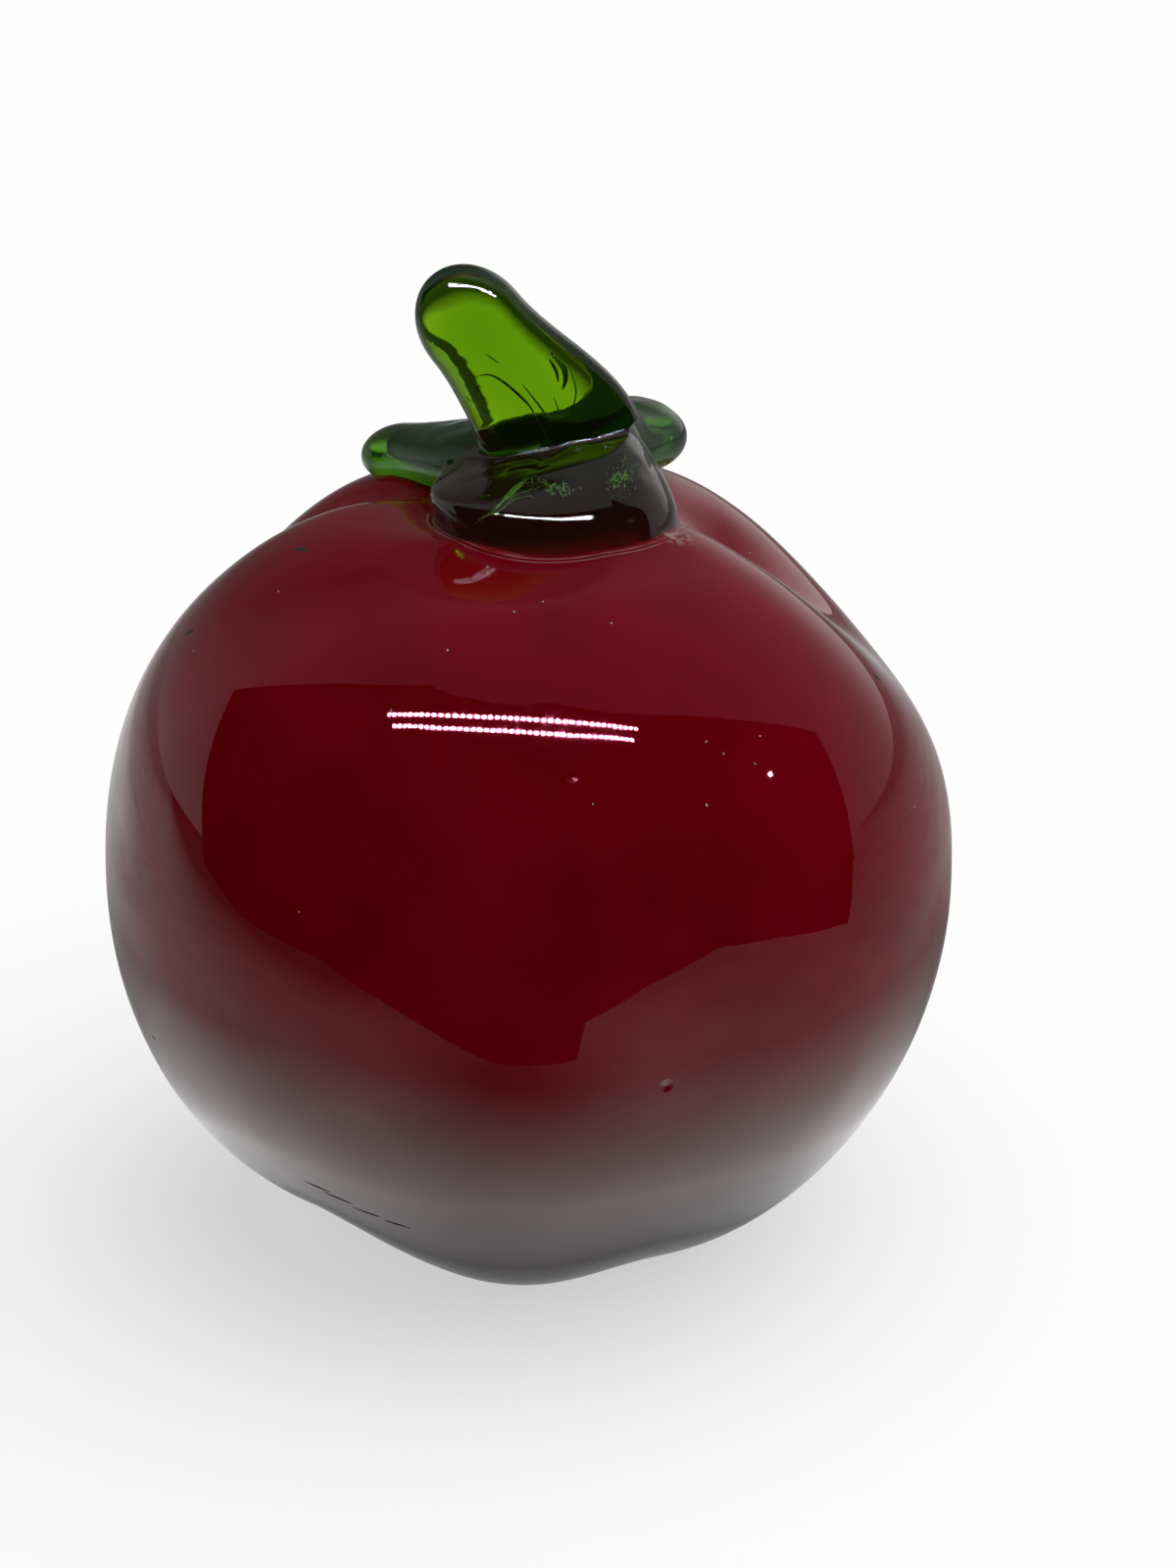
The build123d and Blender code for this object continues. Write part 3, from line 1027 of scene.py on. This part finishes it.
tree.links.new(glow, matt.inputs["Emission Strength"])
print("sheet finish", len(tree.nodes), "nodes")

# %% [markdown]
# ## The sheet's cut edge
#
# In the gloss the sheet ends at an uneven edge in front of the apple, and the dark above it gives the
# body its depth. A sheet that really ended there would leave the floor open. So it is cut in two along
# the edge, and only the part behind shows in reflections. With one finish on both the eye sees no seam.

# %% Lay the sheet
SHEET_REACH = 3.0
# Front edge of the part of the sheet that the gloss shows, from left to right, in metres
SHEET_EDGE = (
    (-SHEET_REACH, 0.05), (-0.66, 0.015), (-0.29, -0.08), (-0.19, -0.165), (-0.10, -0.148),
    (-0.015, -0.120), (0.020, -0.122), (0.030, -0.155), (0.085, -0.180), (0.190, -0.190),
    (0.215, -0.110), (0.200, -0.030), (0.83, 0.04), (SHEET_REACH, 0.05),
)

edge = [(x, y, 0.0) for x, y in SHEET_EDGE]
far_corners = [(SHEET_REACH, SHEET_REACH, 0.0), (-SHEET_REACH, SHEET_REACH, 0.0)]
near_corners = [(-SHEET_REACH, -SHEET_REACH, 0.0), (SHEET_REACH, -SHEET_REACH, 0.0)]
behind = new_object("sheet_behind", edge + far_corners, [tuple(range(len(edge) + 2))])
before = new_object("sheet_before", near_corners + edge[::-1], [tuple(range(len(edge) + 2))])
for part, in_gloss in ((behind, True), (before, False)):
    part.data.materials.append(sheet)
    seen_by(part, camera=True, diffuse=True, glossy=in_gloss, shadow=True)
print("sheet's front edge has", len(edge), "corners")

# %% [markdown]
# ## The dark card
#
# A photographer puts black card in front of glass to give its gloss an edge. This one is bent round the
# front of the apple, higher in the middle, and shows only in reflections, so it throws no shade. A flat
# card would have to be very wide for that.

# %% Bend the card
CARD_RADIUS = 0.6
CARD_STEPS = 208
# Outline of the card, as azimuth in degrees and height in metres: its top and its slanted sides
CARD_TOP = ((-110.0, 0.32), (-90.0, 0.66), (-57.0, 1.30), (11.0, 1.42), (59.0, 0.81), (97.0, 0.29))
CARD_BOTTOM = ((-110.0, 0.32), (-91.0, 0.0), (-90.0, -0.6), (91.0, -0.6), (92.0, 0.0), (97.0, 0.29))
CARD_COLOUR = (0.003, 0.003, 0.003, 1.0)

black, tree, dull = new_finish("dark_card")
set_inputs(dull, {"Base Color": CARD_COLOUR, "Roughness": 1.0, "Specular IOR Level": 0.0})
card_points = []
card_faces = []
for step, azimuth in enumerate(np.linspace(CARD_TOP[0][0], CARD_TOP[-1][0], CARD_STEPS)):
    turn = math.radians(azimuth)
    for outline in (CARD_BOTTOM, CARD_TOP):
        height = np.interp(azimuth, *zip(*outline))
        card_points.append((CARD_RADIUS * math.sin(turn), -CARD_RADIUS * math.cos(turn), height))
    if step:
        card_faces.append((2 * step - 2, 2 * step, 2 * step + 1, 2 * step - 1))
card = new_object("dark_card", card_points, card_faces)
card.data.materials.append(black)
seen_by(card, transmission=False)
print("card", CARD_TOP[-1][0] - CARD_TOP[0][0], "degrees round")

# %% [markdown]
# ## The lamp strip
#
# Two rows of small lamps over the front draw the bright double line on the shoulder, and one lamp to
# the right draws a bright spot. Area lamps would show as plain bars, so these are small glowing beads.
# A slight bow in the rows gives the line its sweep.

# %% Hang the lamps
STRIP_ROWS = (0.0, 0.017)
STRIP_BEADS = 40
STRIP_ENDS = (-0.130, 0.100)
STRIP_DEPTH = -0.126
STRIP_HEIGHT = 0.24
STRIP_BOW = 0.030
BOW_MIDDLE = 0.05
BOW_REACH = 0.18
BEAD_RADIUS = 0.0024
BEAD_SIDES = 8
BEAD_RINGS = 6
BEAD_LIGHT = 260.0
LAMP_PLACE = (0.438, -0.117, 0.251)
LAMP_RADIUS = 0.006

bead_paint, tree, lit = new_finish("lamp_beads")
set_inputs(lit, {
    "Base Color": (0, 0, 0, 1), "Emission Color": (1, 1, 1, 1), "Emission Strength": BEAD_LIGHT,
})
spots = []
for row in STRIP_ROWS:
    for x in np.linspace(*STRIP_ENDS, STRIP_BEADS):
        bow = STRIP_BOW * ((x - BOW_MIDDLE) / BOW_REACH) ** 2
        spots.append(((x, STRIP_DEPTH + bow - row, STRIP_HEIGHT), BEAD_RADIUS))
spots.append((LAMP_PLACE, LAMP_RADIUS))
beads = bmesh.new()
for spot, radius in spots:
    hung = Matrix.Translation(spot)
    bmesh.ops.create_uvsphere(
        beads, u_segments=BEAD_SIDES, v_segments=BEAD_RINGS, radius=radius, matrix=hung
    )
bead_mesh = bpy.data.meshes.new("lamp_strip")
beads.to_mesh(bead_mesh)
beads.free()
strip = placed("lamp_strip", bead_mesh)
bead_mesh.materials.append(bead_paint)
seen_by(strip)
print("lamp beads", len(spots))

# %% [markdown]
# ## The white tent
#
# Round the stage is a white tent, which here is the world. The eye sees it plain white. In the gloss it
# is grey, darker at the back on the left, and brighter low at the back on the right, as with a lamp
# outside. Through the green glass it is bright only straight behind, so the rims of the stem stay dark.

# %% Pitch the tent
TENT_COLOUR = (1.0, 0.98, 0.97, 1.0)
TENT_FOR_DIFFUSE = 0.3
TENT_ABOVE = 0.48
TENT_SHADE = 0.13
SHADE_TOWARDS = (-0.25, 0.85, 0.45)
TENT_GLEAM = 0.36
GLEAM_TOWARDS = (0.46, 0.88, 0.14)
TENT_THROUGH_BACK = 0.8
TENT_THROUGH_SIDES = 0.15
BACK_TOWARDS = (0.0, 1.0, 0.0)

world = bpy.data.worlds.new("white_tent")
bpy.context.scene.world = world
world.use_nodes = True
tree = world.node_tree
tent = tree.nodes["Background"]
tent.inputs["Color"].default_value = TENT_COLOUR
towards = tree.nodes.new("ShaderNodeTexCoord").outputs["Generated"]
rays, through, mirrored = sorted_rays(tree)
strength = times(tree, rays["Is Diffuse Ray"], TENT_FOR_DIFFUSE)
strength = worked_out(tree, "ADD", rays["Is Camera Ray"], strength)
# Each part of the tent: who sees it, its direction, its inner and outer reach, and the light in and out
for kind, direction, start, end, inside, outside in (
    (mirrored, SHADE_TOWARDS, 0.40, 0.75, TENT_SHADE, TENT_ABOVE),
    (mirrored, GLEAM_TOWARDS, 0.15, 0.45, TENT_GLEAM, 0.0),
    (through, BACK_TOWARDS, 0.30, 0.70, TENT_THROUGH_BACK, TENT_THROUGH_SIDES),
):
    level = graded(tree, distance(tree, towards, direction), start, end, inside, outside)
    strength = worked_out(tree, "ADD", strength, times(tree, kind, level))
tree.links.new(strength, tent.inputs["Strength"])
print("tent", len(tree.nodes), "nodes")

# %% [markdown]
# ## The soft light from above
#
# Soft light from above, a little from the right, gives the apple a wide and faint shadow. A large area
# lamp has to be placed and sized for that. A sun spread over a right angle does it from anywhere, and
# it is hidden from the glass.

# %% Turn on the overhead light
OVERHEAD_LIGHT = 0.61 * math.pi
OVERHEAD_SPREAD = math.radians(90.0)
OVERHEAD_TILT = math.radians(25.0)

overhead = bpy.data.lights.new("overhead", "SUN")
overhead.angle = OVERHEAD_SPREAD
overhead.energy = OVERHEAD_LIGHT
lamp = placed("overhead", overhead)
lamp.rotation_euler = (0.0, OVERHEAD_TILT, 0.0)
lamp.visible_glossy = False
lamp.visible_transmission = False
lamp.visible_camera = False
print("overhead light", round(overhead.energy, 2))

# %% [markdown]
# ## Camera
#
# The photo looks down on the apple by about 24 degrees from close by, so the shoulder hides the well
# and the foot looks narrow. The camera stands 35 cm away, looks along +Y and aims a little beside the
# middle of the body. A lens of about 75 mm then frames it as in the photo.

# %% Set the camera
ELEVATION = math.radians(24.0)
DISTANCE = 0.350
AIM_RIGHT = 6.3 * MM
AIM_UP = 8.4 * MM
FOCAL_LENGTH = 74.9

centre = Vector((0.0, 0.0, EQUATOR_HEIGHT))
eye = centre + DISTANCE * Vector((0.0, -math.cos(ELEVATION), math.sin(ELEVATION)))
up = Vector((0.0, math.sin(ELEVATION), math.cos(ELEVATION)))
aim = centre + Vector((AIM_RIGHT, 0.0, 0.0)) + up * AIM_UP
camera = placed("camera", bpy.data.cameras.new("camera"))
camera.location = eye
camera.rotation_euler = (aim - eye).to_track_quat("-Z", "Y").to_euler()
camera.data.lens = FOCAL_LENGTH
camera.data.sensor_width = 36.0
camera.data.clip_start = 0.01
bpy.context.scene.camera = camera
bpy.context.scene.view_settings.view_transform = "Standard"
print("camera at", [round(v, 3) for v in eye])
